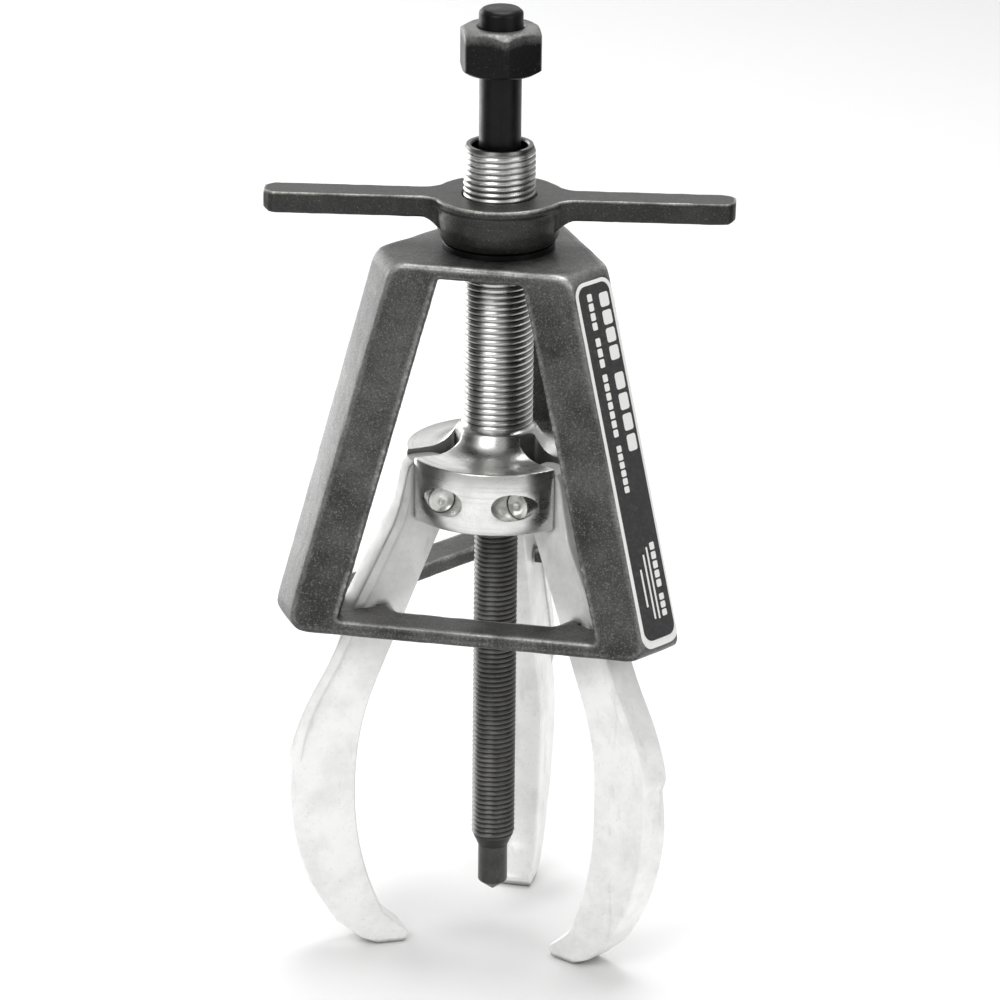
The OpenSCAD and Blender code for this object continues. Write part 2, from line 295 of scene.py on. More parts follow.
class Look:
    """A material made of nodes, with its principled shader ready."""

    def __init__(self, name, color, metallic, roughness, **sockets):
        self.material = bpy.data.materials.new(name)
        self.material.use_nodes = True
        self.tree = self.material.node_tree
        self.shader = self.tree.nodes["Principled BSDF"]
        self.set("Base Color", (*color, 1.0))
        self.set("Metallic", metallic)
        self.set("Roughness", roughness)
        for key, value in sockets.items():
            self.set(key.replace("_", " ").title(), value)
        self.place = self.node("ShaderNodeTexCoord").outputs["Object"]

    def set(self, socket, value):
        self.shader.inputs[socket].default_value = value

    def link(self, output, socket):
        self.tree.links.new(output, socket if not isinstance(socket, str) else self.shader.inputs[socket])

    def node(self, kind, inputs=(), **settings):
        node = self.tree.nodes.new(kind)
        for key, value in settings.items():
            setattr(node, key, value)
        for socket, value in dict(inputs).items():
            if isinstance(value, bpy.types.NodeSocket):
                self.link(value, node.inputs[socket])
            else:
                node.inputs[socket].default_value = value
        return node

    def noise(self, scale, detail=4.0, roughness=0.55, stretch=(1, 1, 1), place=None):
        """Cloudy values about 0.5; scale is in features to the metre."""
        spot = self.node("ShaderNodeVectorMath", {0: place or self.place, 1: stretch}, operation="MULTIPLY")
        return self.node("ShaderNodeTexNoise", {"Vector": spot.outputs[0], "Scale": scale, "Detail": detail,
                                                "Roughness": roughness}).outputs["Fac"]

    def grains(self, scale):
        """The distance to the nearest of many scattered points."""
        return self.node("ShaderNodeTexVoronoi", {"Vector": self.place, "Scale": scale}).outputs["Distance"]

    def map(self, value, a, b, c=0.0, d=1.0):
        """A value's stretch from a to b, brought to c to d and held there."""
        return self.node("ShaderNodeMapRange", {"Value": value, "From Min": a, "From Max": b, "To Min": c,
                                                "To Max": d}).outputs["Result"]

    def math(self, operation, a, b):
        return self.node("ShaderNodeMath", {0: a, 1: b}, operation=operation).outputs[0]

    def mix(self, share, a, b):
        """A colour between a and b."""
        node = self.node("ShaderNodeMix", {"Factor": share}, data_type="RGBA")
        for socket, value in ((node.inputs[6], a), (node.inputs[7], b)):
            if isinstance(value, bpy.types.NodeSocket):
                self.link(value, socket)
            else:
                socket.default_value = (*value, 1.0)
        return node.outputs[2]

    def radius(self):
        """The distance from the screw's axis, in metres."""
        flat = self.node("ShaderNodeVectorMath", {0: self.place, 1: (1, 1, 0)}, operation="MULTIPLY")
        return self.node("ShaderNodeVectorMath", {0: flat.outputs[0]}, operation="LENGTH").outputs["Value"]

    def turned_place(self):
        """Coordinates in which marks run round the screw's axis."""
        z = self.node("ShaderNodeSeparateXYZ", {0: self.place}).outputs["Z"]
        around = self.node("ShaderNodeSeparateXYZ", {0: self.place}).outputs["X"]
        around = self.math("MULTIPLY", around, 0.04)
        return self.node("ShaderNodeCombineXYZ", {"X": around, "Y": self.radius(), "Z": z}).outputs[0]

    def attribute(self, name):
        return self.node("ShaderNodeAttribute", attribute_name=name).outputs["Fac"]

    def bump(self, height, depth, strength=1.0):
        """Raises the surface by depth millimetres where height is 1."""
        node = self.node("ShaderNodeBump", {"Height": height, "Distance": depth * MM, "Strength": strength})
        if self.shader.inputs["Normal"].is_linked:
            self.link(self.shader.inputs["Normal"].links[0].from_socket, node.inputs["Normal"])
        self.link(node.outputs[0], "Normal")
        return self


def turned_steel(name, bright, dull_and_shade, root, crest, roughness=(0.26, 0.42)):
    """Lathe-turned steel, darker at radius root than at radius crest (millimetres): painted shade in a
    thread's roots.
    """
    look = Look(name, bright, 1.0, 0.3)
    lines = look.noise(900, 2, 0.6, place=look.turned_place())
    cloud = look.noise(120, 5, 0.6)
    grit = look.noise(2200, 2, 0.6)
    shade = look.mix(look.map(cloud, 0.35, 0.7), bright, [c * 0.84 for c in bright])
    shade = look.mix(look.map(lines, 0.55, 0.8, 0, 0.35), shade, dull_and_shade)
    shade = look.mix(look.map(grit, 0.58, 0.72, 0, 0.30), shade, dull_and_shade)
    # painted shade: between radius crest and radius root the colour turns to the dull one, darkest in the
    # thread's roots
    shade = look.mix(look.map(look.radius(), crest * MM, root * MM), shade, dull_and_shade)
    look.link(shade, "Base Color")
    look.link(look.map(look.math("ADD", lines, cloud), 0.8, 1.4, *roughness), "Roughness")
    return look.bump(lines, 0.008, 0.4).bump(grit, 0.006, 0.5).material


def forged_steel(name, dark, light, worn, grain=0.05, gloss=0.5, roughness=(0.40, 0.58)):
    """Dark forging scale with pale specks, rubbed bright on its edges: real wear plus painted highlight on
    the edges that face up.
    """
    look = Look(name, dark, 0.45, 0.5, coat_weight=gloss * 0.6, coat_roughness=0.30)
    look.set("Specular IOR Level", gloss)
    fine = look.noise(1500, 3, 0.7)
    cloud = look.noise(45, 5, 0.62)
    specks = look.grains(700)
    shade = look.mix(look.map(cloud, 0.36, 0.68), dark, light)
    shade = look.mix(look.map(fine, 0.53, 0.68, 0, 0.55), shade, [c * 2.6 for c in light])
    shade = look.mix(look.map(fine, 0.46, 0.32, 0, 0.6), shade, [c * 0.4 for c in dark])
    shade = look.mix(look.map(specks, 0.12, 0.05, 0, 0.45), shade, worn)
    # bright edges: wear plus painted highlight, strongest on edges that face up
    rubbed_and_highlight = look.math("MULTIPLY", look.attribute("wear_and_highlight"), look.map(look.noise(70, 5), 0.36, 0.62, 0.35, 1.0))
    rubbed_and_highlight = look.math("MULTIPLY", rubbed_and_highlight, look.map(look.noise(1100, 3), 0.35, 0.6, 0.6, 1.0))
    rubbed_and_highlight = look.map(rubbed_and_highlight, 0.06, 0.6, 0, 0.85)
    look.link(look.mix(rubbed_and_highlight, shade, worn), "Base Color")
    dulled = look.math("SUBTRACT", cloud, look.math("MULTIPLY", rubbed_and_highlight, 0.4))
    look.link(look.map(dulled, 0.1, 0.75, *roughness), "Roughness")
    look.link(look.map(rubbed_and_highlight, 0, 1, 0.45, 0.9), "Metallic")
    return look.bump(fine, grain).bump(look.noise(320, 3), grain * 2.2, 0.6).material


def black_oxide(name, color, roots=None):
    """Blackened steel with faint grey bloom; roots is a thread's (root, crest) radii, and the thread's roots
    get painted shade.
    """
    look = Look(name, color, 0.65, 0.42)
    cloud = look.noise(160, 5, 0.65)
    fine = look.noise(1300, 3, 0.7)
    shade = look.mix(look.map(cloud, 0.42, 0.72, 0, 0.7), color, [c * 1.8 for c in color])
    shade = look.mix(look.map(fine, 0.6, 0.74, 0, 0.5), shade, [c * 3.5 for c in color])
    if roots:
        # painted shade: the thread's roots are darkened to a quarter of the colour
        crest = look.map(look.radius(), roots[0] * MM, roots[1] * MM)
        shade = look.mix(crest, [c * 0.25 for c in color], shade)
    look.link(shade, "Base Color")
    look.link(look.map(cloud, 0.3, 0.7, 0.3, 0.46), "Roughness")
    return look.bump(fine, 0.03).material


def satin_steel(name, pale, grey):
    """Pale tumbled steel, mottled and faintly scratched, with painted shade greying its upper part and its
    crevices.
    """
    look = Look(name, pale, 0.15, 0.4)
    cloud = look.noise(55, 6, 0.65)
    fine = look.noise(900, 4, 0.7)
    streaks = look.noise(150, 4, 0.6, stretch=(1, 1, 0.25))
    # painted shade: greyer from 0.10 m up towards the jaws' tops; the cloud adds real mottling
    height = look.node("ShaderNodeSeparateXYZ", {0: look.place}).outputs["Z"]
    painted_shade_and_mottle = look.math("ADD", look.map(height, 0.10, 0.18, 0.0, 0.55),
                          look.map(cloud, 0.42, 0.75, 0, 0.45))
    shade = look.mix(painted_shade_and_mottle, pale, grey)
    shade = look.mix(look.map(fine, 0.58, 0.78, 0, 0.4), shade, [c * 0.7 for c in grey])
    shade = look.mix(look.map(streaks, 0.6, 0.75, 0, 0.25), shade, [c * 0.55 for c in grey])
    # painted shade: the colour darkens in crevices, found with ambient occlusion
    corners = look.node("ShaderNodeAmbientOcclusion", {"Distance": 0.003}, samples=8).outputs["AO"]
    shade = look.mix(look.map(corners, 0.88, 0.62, 0, 0.8), shade, [c * 0.4 for c in grey])
    look.link(shade, "Base Color")
    look.link(look.map(cloud, 0.3, 0.7, 0.34, 0.5), "Roughness")
    return look.bump(fine, 0.03).bump(cloud, 0.25, 0.5).material


def printed_film(name, color, roughness):
    """Printed plastic film with a little dust on it."""
    look = Look(name, color, 0.0, roughness, coat_weight=0.3)
    dust = look.noise(700, 4, 0.7)
    dusty = [blend(c, 0.35, 0.35) for c in color]
    look.link(look.mix(look.map(dust, 0.5, 0.8, 0, 0.35), color, dusty), "Base Color")
    look.link(look.map(dust, 0.3, 0.7, roughness - 0.06, roughness + 0.12), "Roughness")
    return look.bump(dust, 0.01).material


# Both threads: radii at the crest and the root, pitch, and depth along the pitch.
INCH = 25.4
TUBE_CREST, TUBE_ROOT, TUBE_PITCH = 12.5, 11.95, INCH / 12
SCREW_CREST, SCREW_ROOT, SCREW_PITCH = 7.7, 6.95, INCH / 14
TUBE_SHAPE = ((0.0, 0.12), (0.07, 0.0), (0.30, 0.0), (0.37, 0.12), (0.62, 0.92), (0.685, 1.0),
              (0.75, 0.92))
SCREW_SHAPE = ((0.0, 0.12), (0.06, 0.0), (0.16, 0.0), (0.22, 0.12), (0.50, 0.9), (0.61, 1.0), (0.72, 0.9))

MATERIALS = {
    "tube": turned_steel("tube_thread", (0.66, 0.66, 0.645), (0.14, 0.14, 0.135),
                         TUBE_ROOT, TUBE_ROOT + 0.22),
    "drum": turned_steel("turned_drum", (0.84, 0.84, 0.82), (0.42, 0.42, 0.41), 2.0, 3.0),
    # the slot walls: the drum's steel darkened, painted shade inside the slots
    "slot": turned_steel("slot_wall_painted_shade", (0.30, 0.30, 0.29), (0.12, 0.12, 0.115), 2.0, 3.0, (0.4, 0.55)),
    "pin": turned_steel("pin_steel", (0.66, 0.66, 0.64), (0.3, 0.3, 0.29), 2.0, 3.0),
    "spring": turned_steel("spring_steel", (0.34, 0.34, 0.33), (0.16, 0.16, 0.15), 2.0, 3.0),
    "cage": forged_steel("forged_cage", (0.020, 0.020, 0.019), (0.095, 0.095, 0.091),
                         (0.55, 0.55, 0.53)),
    "handle": forged_steel("forged_handle", (0.009, 0.009, 0.008), (0.032, 0.032, 0.030),
                           (0.48, 0.47, 0.44)),
    "nut": forged_steel("nut_black", (0.003, 0.003, 0.003), (0.008, 0.008, 0.008),
                        (0.24, 0.24, 0.23), grain=0.03, gloss=0.2),
    "shank": black_oxide("shank_black", (0.006, 0.006, 0.006)),
    "screw": black_oxide("screw_thread", (0.13, 0.13, 0.122), (SCREW_ROOT, SCREW_CREST - 0.25)),
    "point": black_oxide("point_steel", (0.055, 0.055, 0.052)),
    "jaw": satin_steel("satin_jaw", (0.95, 0.95, 0.935), (0.50, 0.50, 0.49)),
    "film": printed_film("label_black", (0.04, 0.04, 0.04), 0.35),
    "print": printed_film("label_white", (0.80, 0.80, 0.78), 0.4),
}


# ---------------------------------------------------------------- forcing screw, point and nut

def make_screw():
    bottom, top = low("forcing_screw"), high("forcing_screw")
    nut_bottom = low("drive_nut")
    thread_top, shank, spigot = 262.0, 7.3, 3.06
    end_r, chamfer, spigot_top = 5.45, 5.0, bottom + 13

    def floor(z):
        return blend(SCREW_ROOT, shank, smooth((z - thread_top + SCREW_PITCH) / SCREW_PITCH))

    def ceiling(z):
        lead = blend(end_r, SCREW_CREST, (z - bottom) / chamfer)
        run_out = blend(SCREW_CREST, shank, smooth((z - thread_top + 1) / 1.0))
        return min(lead, run_out, SCREW_CREST)

    def low_floor(z):
        return min(floor(z), ceiling(z))

    below = [(0.001, spigot_top), (spigot, spigot_top), (spigot, bottom + 0.3), (spigot + 0.3, bottom)]
    above = [(shank, thread_top), (shank, nut_bottom - 0.6), (shank - 0.5, nut_bottom), (7.65, nut_bottom),
             (7.65, top - 1.7), (7.5, top - 1.2), (6.5, top - 0.25), (6.0, top), (0.001, top)]
    bm = threaded(bottom, thread_top, below, above, pitch=SCREW_PITCH, shape=SCREW_SHAPE, crest=SCREW_CREST,
                  root=SCREW_ROOT, floor=low_floor, ceiling=ceiling, steps=56)
    for face in bm.faces:
        face.material_index = 1 if face.calc_center_median().z > thread_top + 0.1 else 0
    return new_piece("forcing_screw_visual", bm, "screw", ["forcing_screw"],
                     [MATERIALS["screw"], MATERIALS["shank"]])


def make_point():
    tip, top = low("centre_point"), high("centre_point")
    shoulder = low("forcing_screw") - 0.05
    r, spigot, cone = 5.25, 3.0, 4.0
    outline = [(0.001, tip + 0.05), (0.45, tip + 0.3), (r - 0.6, tip + cone - 0.55),
               (r - 0.15, tip + cone - 0.1), (r, tip + cone + 0.4), (r, shoulder - 0.3),
               (r - 0.3, shoulder), (spigot, shoulder), (spigot, shoulder + 7),
               (spigot - 0.7, shoulder + 7), (spigot - 0.7, shoulder + 8.3), (spigot, shoulder + 8.3),
               (spigot, top - 0.5), (spigot - 0.5, top), (0.001, top)]
    return new_piece("centre_point_visual", lathe(outline, 64), "point", ["centre_point"],
                     [MATERIALS["point"]])


def make_nut():
    """A hexagon nut whose upper and lower corners are turned off at 32 degrees."""
    bottom, top = low("drive_nut"), high("drive_nut")
    across, bore, slope = 26.4, 7.75, math.tan(math.radians(32))
    corner = across / math.sqrt(3)
    face_low, face_high = across / 2 - 0.7, across / 2 - 1.2
    steps, first = 144, -70.0
    rows = []
    for i in range(steps):
        a = TAU * i / steps
        inside = (a + TAU / 12) % (TAU / 6) - TAU / 12
        flat = across / 2 / math.cos(inside - math.copysign(TAU / 12, inside) if inside else TAU / 12)
        flat = min(flat, corner - 0.35 + 0.35 * math.cos(6 * inside) - 0.35)
        low_z, high_z = bottom + (flat - face_low) * slope, top - (flat - face_high) * slope
        points = [(bore, bottom + 0.8), (bore + 0.8, bottom), (face_low, bottom), (flat - 0.25, low_z - 0.15),
                  (flat, low_z + 0.15)]
        points += [(flat, blend(low_z, high_z, k / 4)) for k in (1, 2, 3)]
        points += [(flat, high_z - 0.15), (flat - 0.25, high_z + 0.15), (face_high, top), (bore + 0.8, top),
                   (bore, top - 0.8)]
        turn = a + math.radians(first)
        rows.append([(r * math.cos(turn), r * math.sin(turn), z) for r, z in points])
    bm = tidy(grid(rows + [rows[0]]))
    mark_wear_and_highlight(bm, 1, 5.0)
    return new_piece("drive_nut_visual", bm, "screw", ["drive_nut"], [MATERIALS["nut"]])


RINGS = {                        # outer radius, inner radius, rounding of the edges, gap in a sprung ring
    "thrust_washer": (19.5, 16.65, 0.2, 0),
    "neck_snap_ring": (19.0, 15.5, 0.2, 4),
    "point_retaining_ring": (3.7, 2.45, 0.15, 1.2),
}


def make_ring(node, body, look):
    """A flat ring with rounded edges, or a sprung one with a gap, in the place of its CAD node."""
    bottom, top = low(node), high(node)
    outer, inner, edge, gap = RINGS[node]
    outline = [(inner, bottom + edge), (inner + edge, bottom), (outer - edge, bottom), (outer, bottom + edge),
               (outer, top - edge), (outer - edge, top), (inner + edge, top), (inner, top - edge)]
    half = gap / 2 / outer
    steps = 64
    rows = []
    for i in range(steps + 1):
        a = half + (TAU - 2 * half) * i / steps
        rows.append([(r * math.cos(a), r * math.sin(a), z) for r, z in outline])
    bm = capped(rows) if gap else tidy(grid(rows))
    return new_piece(node + "_visual", bm, body, [node], [MATERIALS[look]])


# ---------------------------------------------------------------- jaw head

def make_head():
    bottom, top = low("jaw_head"), high("jaw_head")
    drum_r, drum_top = 31.8, 182.9
    thread_bottom, lead_z, lead_r = 190.6, 277.0, 12.15
    bore, wide_bore, step_z = 7.78, 9.8, 240.0
    pin_hole, slot_half, slot_floor = 4.85, 4.6, 14.0
    sweep = [(25.0, 183.15), (22.5, 183.35), (20.4, 183.9), (18.6, 184.85), (17.1, 186.05), (16.0, 187.25),
             (15.05, 188.7), (14.35, 189.9), (13.9, thread_bottom)]     # from the drum's top up to the tube

    def ceiling(z):
        crest = TUBE_CREST if z < lead_z else lead_r
        flare = blend(sweep[-1][0], TUBE_CREST, smooth((z - thread_bottom) / 2.6))
        end = blend(TUBE_ROOT - 0.4, lead_r, (top - z) / 1.5)
        return min(max(crest, flare), end)

    def floor(z):
        return min(blend(sweep[-1][0], TUBE_ROOT, smooth((z - thread_bottom) / 1.6)), ceiling(z))

    below = [(bore, step_z), (bore, bottom + 0.6), (bore + 0.6, bottom), (30.9, bottom),
             (31.45, bottom + 0.2), (drum_r, bottom + 0.7), (drum_r, 165.8), (drum_r, 175.8),
             (drum_r, drum_top - 0.7),
             (drum_r - 0.2, drum_top - 0.2), (drum_r - 0.7, drum_top)] + sweep
    above = [(TUBE_ROOT - 0.4, top), (wide_bore + 0.5, top), (wide_bore, top - 0.6), (wide_bore, step_z),
             (bore, step_z)]
    bm = threaded(thread_bottom, top, below, above, pitch=TUBE_PITCH, shape=TUBE_SHAPE, crest=TUBE_CREST,
                  root=TUBE_ROOT, floor=floor, ceiling=ceiling, steps=96)
    cutters = []
    for direction in JAWS.values():
        slot = capped([[(slot_floor + dx, y, z) for dx, y in ((0.0, 3.4), (0.35, 4.2), (1.2, slot_half),
                                                              (40, slot_half), (40, -slot_half),
                                                              (1.2, -slot_half), (0.35, -4.2), (0.0, -3.4))]
                       for z in (bottom - 5, 200)])
        cutters.append(turned(slot, direction))
        cutters.append(turned(pivot_bore(pin_hole, 45), direction))
    bm = combined(bm, cutters, "DIFFERENCE")
    bmesh.ops.dissolve_degenerate(bm, edges=bm.edges, dist=0.002)

    def on_drum(p):
        return p.z < 190 and math.hypot(p.x, p.y) > 13.5

    soften_edges(bm, 0.28, 2, on_drum, 40)

    def in_slot(c, n):
        """Whether a face with this middle and normal is a side or the floor of a slot."""
        for d in JAWS.values():
            out, across = polar(1, d), polar(1, d + 90)
            wall = abs(n.dot(across)) > 0.9 or (n.dot(out) > 0.3 and abs(n.z) < 0.2)
            if wall and abs(c.dot(across)) < 4.7 and c.dot(out) > 12.5:
                return math.hypot(c.x, c.y) > 13.6
        return False

    # material 2, for the slot walls, is the drum's steel darkened: painted shade inside the slots
    for face in bm.faces:                        # 0 tube, 1 drum, 2 slot wall
        c = face.calc_center_median()
        face.material_index = 2 if in_slot(c, face.normal) else 1 if c.z < thread_bottom - 0.1 else 0
    return new_piece("jaw_head_visual", bm, "head", ["jaw_head"],
                     [MATERIALS["tube"], MATERIALS["drum"], MATERIALS["slot"]])


def make_pin(name, direction):
    """A ground pivot pin with a turned dimple in each end."""
    r, half = PIN_R, 16.6
    outline = [(0.001, -half + 0.9), (0.5, -half + 0.75), (1.3, -half + 0.12), (1.7, -half), (r - 1.0, -half),
               (r - 0.25, -half + 0.35), (r, -half + 1.0)]
    outline += [(x, -y) for x, y in reversed(outline)]
    bm = lathe(outline, 48)
    moved(bm, Matrix.Rotation(math.radians(90), 4, "X"))
    moved(bm, Matrix.Translation((PIVOT_R, 0, PIVOT_Z)))
    turned(bm, direction)
    return new_piece(f"pivot_pin_{name}_visual", bm, f"jaw_{name}", [f"pivot_pin_{name}"],
                     [MATERIALS["pin"]])


# ---------------------------------------------------------------- jaws

def jaw_stations():
    """Matching points along a jaw's inner and outer curves, from the hook's tip to the top. Points are
    (distance from the axis, height)."""
    def bow(a):
        return Vector((-9 + 85.7 * math.cos(a), 62 + 85.7 * math.sin(a)))

    def hollow(a):
        return Vector((-57.2 + 109.9 * math.cos(a), 58.9 + 109.9 * math.sin(a)))

    pairs = []
    grip = [Vector(p) for p in ((33.6, 3.4), (33.75, 3.9), (34.3, 4.65), (36.8, 7.0), (39.6, 9.6),
                                (42.24, 12.1))]
    foot = [Vector(p) for p in ((34.6, 0.45), (35.3, 0.15), (36.2, 0.0), (40.0, 0.0), (45.0, 0.1),
                                (51.3, 3.3))]
    pairs += list(zip(grip, foot))
    bend = 44
    for i in range(1, bend + 1):
        pairs.append((hollow(math.radians(blend(-25.2, 22.8, i / bend))),
                      bow(math.radians(blend(-38.5, 26.5, i / bend)))))
    inner_end, outer_end = pairs[-1]
    straight = 60
    for i in range(1, straight + 1):
        rise = 58.8 * i / straight
        pairs.append((inner_end + Vector((-math.tan(math.radians(22.8)), 1)) * rise * 1.08,
                      outer_end + Vector((-math.tan(math.radians(26.5)), 1)) * rise))
    eye = [(15.9, 168.5), (15.2, 172.5), (16.0, 176.2), (17.9, 179.4), (20.6, 181.0), (22.6, 181.4)]
    back = [(36.4, 165.5), (34.9, 172.5), (34.2, 176.2), (33.4, 179.0), (31.8, 180.9), (30.2, 181.4)]
    pairs += [(Vector(a), Vector(b)) for a, b in zip(eye, back)]
    for inner, outer in pairs:                   # the flange runs straight down, and ends in a corner
        swell = 0.5 * math.exp(-((outer.y - 81) / 6.5) ** 2) - 1.3 * math.exp(-((outer.y - 110) / 13) ** 2)
        outer += (outer - inner).normalized() * swell
    return pairs


def jaw_section(inner, outer):
    """The outline round a jaw between two matching points: (distance along from inner to outer, sideways)."""
    z = outer.y
    length = (outer - inner).length
    strip = smooth((160.5 - z) / 2.2) * smooth((z - 73.5) / 2.5)      # 1 where the flange stands out
    heavy = smooth((88 - z) / 34)                                     # 1 where the whole jaw is thick
    body = blend(4.3, blend(6.15, 6.5, smooth((22 - z) / 18)), heavy)
    side = max(blend(body, 6.2, strip), body + 0.02)
    proud = 1.15 * strip
    nub = 0.3 * math.exp(-((z - 77.0) / 2.2) ** 2)
    k = min(1.0, length / 9)                                          # smaller steps where the jaw is shallow
    under, top = length - 3.4 * k, length + proud
    half = [(0.0, body - 1.9 * k), (0.30 * k, body - 0.75 * k), (0.9 * k, body - 0.2 * k), (1.9 * k, body),
            (length * 0.25, body + 0.04), (length * 0.42, body + 0.05), (under - 1.3 * k, body + 0.05),
            (under - 0.45 * k, body + 0.05 + 0.12 * (side - body)), (under, blend(body, side, 0.35)),
            (under + 0.1 * k, blend(body, side, 0.75)), (under + 0.5 * k, side - 0.12 * strip),
            (under + 0.9 * k, side), (top - 1.1 * k, side), (top - 0.5 * k, side - 0.15 * k),
            (top - 0.15 * k, side - 0.5 * k), (top + nub - 0.05 * k, side - 1.1 * k), (top + nub, side - 3.6)]
    return half + [(s, -t) for s, t in reversed(half)]


def make_jaw(name, direction):
    rows = []
    for inner, outer in jaw_stations():
        along = (outer - inner).normalized()
        rows.append([(inner.x + along.x * s, t, max(inner.y + along.y * s, 0.0))
                     for s, t in jaw_section(inner, outer)])
    bm = capped(rows)
    bm = combined(bm, [pivot_bore(PIN_R, 10)], "DIFFERENCE")
    turned(bm, direction)
    return new_piece(f"jaw_{name}_visual", bm, f"jaw_{name}", [f"jaw_{name}"],
                     [MATERIALS["jaw"]], 30)


# ---------------------------------------------------------------- cage

CAGE_TOP, CAGE_BOTTOM = high("cage"), low("cage")
PLATE, RING, WALL = 4.3, 5.2, 4.8                # thicknesses of the plate, the ring and the legs


def side_distance(z):
    """How far the cage's flat sides are from the axis at height z."""
    return 29.55 + 0.136 * (CAGE_TOP - z)


def leg_distance(z):
    """How far the crowned outer faces of the cage's legs are from the axis at height z."""
    return 42.0 + 0.287 * (CAGE_TOP - z)


def round_in(depth, radius):
    """How far a rounded edge has drawn in at this depth below a face."""
    return radius - math.sqrt(max(radius ** 2 - (radius - min(depth, radius)) ** 2, 0.0))


def cage_slice(z, side, leg, round_r, crown=0.0):
    """Points round the cage at height z, with these distances of its sides and legs from the axis."""
    points = []
    for direction in JAWS.values():
        half = (2 * (side - round_r) - (leg - crown - round_r)) * math.tan(math.radians(30))
        for t in (-half, half):
            for step in range(12):
                a = TAU * step / 12
                points.append(polar(1, direction) * (leg - crown - round_r + round_r * math.cos(a))
                              + polar(1, direction + 90) * (t + round_r * math.sin(a)) + Vector((0, 0, z)))
        for k in range(-3, 4):
            t = k / 4
            points.append(polar(leg - crown * t * t, direction)
                          + polar(t * (half + round_r * 0.6), direction + 90) + Vector((0, 0, z)))
    return points


def make_cage():
    """The cage, from the hull of its slices less its inside, windows, opening, slots and bore. Returns
    its surface as it was before it was roughened, for the label to lie on."""
    foot_r, crown_r, edge_r, corner_r, crown = 7.5, 4.5, 1.3, 1.3, 0.35
    narrow, bore, opening_side, opening_leg = 15.3, 16.6, 32.3, 40.5
    points = []
    for up in (0, 0.6, 1.5, 3, 5, 7.5, 9.5):
        z = CAGE_BOTTOM + up
        points += cage_slice(z, side_distance(z) - round_in(up, edge_r),
                             leg_distance(z) - round_in(up, foot_r), corner_r, crown)
    for down in (0, 0.5, 1.2, 2.2, 3.4, 5):
        z = CAGE_TOP - down
        points += cage_slice(z, side_distance(z) - round_in(down, edge_r),
                             leg_distance(z) - round_in(down, crown_r), corner_r, crown)
    bm = hull(points)
    floor_z, roof_z = CAGE_BOTTOM + RING, CAGE_TOP - PLATE
    inside = []
    for z in (floor_z, roof_z):
        inside += cage_slice(z, side_distance(z) - WALL, leg_distance(z) - WALL - 0.4, 1.5)
    cutters = [hull(inside)]
    wide = narrow + 0.25 * (roof_z - floor_z)
    for direction in WINDOWS:
        frame_points = []
        for x in (22, 62):
            for y, z, sx, sz in ((wide, floor_z, -1, 1), (narrow, roof_z, -1, -1), (-narrow, roof_z, 1, -1),
                                 (-wide, floor_z, 1, 1)):
                frame_points += [(x, y + sx * 1.0, z), (x, y, z + sz * 1.0),
                                 (x, y + sx * 0.3, z + sz * 0.3)]
        cutters.append(turned(hull(frame_points), direction))
    opening = []
    for z in (CAGE_BOTTOM - 3, floor_z + 3):
        opening += cage_slice(z, opening_side, opening_leg, 3.0)
    cutters.append(hull(opening))
    bm = combined(bm, cutters, "DIFFERENCE")
    bm = forged(bm, 0.6, 6)
    skin = BVHTree.FromBMesh(bm)
    mark_wear_and_highlight(bm, 6, 11.0)
    roughened(bm, 9.0, 0.16)
    roughened(bm, 2.6, 0.05)
    machined = [capped([[(bore * math.cos(TAU * i / 96), bore * math.sin(TAU * i / 96), z)
                         for i in range(96)] for z in (CAGE_TOP - 10, CAGE_TOP + 10)])]
    for direction in JAWS.values():
        slot = [(38.0, -5.2), (45.3, -5.2), (45.3, -7.2), (58.0, -7.2), (58.8, -6.4), (58.8, 6.4),
                (58.0, 7.2), (45.3, 7.2), (45.3, 5.2), (38.0, 5.2)]
        tool = prism(slot, RING + 8)
        machined.append(turned(moved(tool, Matrix.Translation((0, 0, CAGE_BOTTOM - 4))), direction))
    bm = combined(bm, machined, "DIFFERENCE")
    new_piece("cage_visual", bm, "cage", ["cage"], [MATERIALS["cage"]], 50)
    return skin


def rounded_outline(x0, x1, y0, y1, r, steps=8):
    """A rectangle with round corners, anticlockwise."""
    out = []
    for cx, cy, start in ((x1 - r, y1 - r, 0), (x0 + r, y1 - r, 90), (x0 + r, y0 + r, 180),
                          (x1 - r, y0 + r, 270)):
        out += [(cx + r * math.cos(math.radians(start + 90 * k / steps)),
                 cy + r * math.sin(math.radians(start + 90 * k / steps))) for k in range(steps + 1)]
    return out


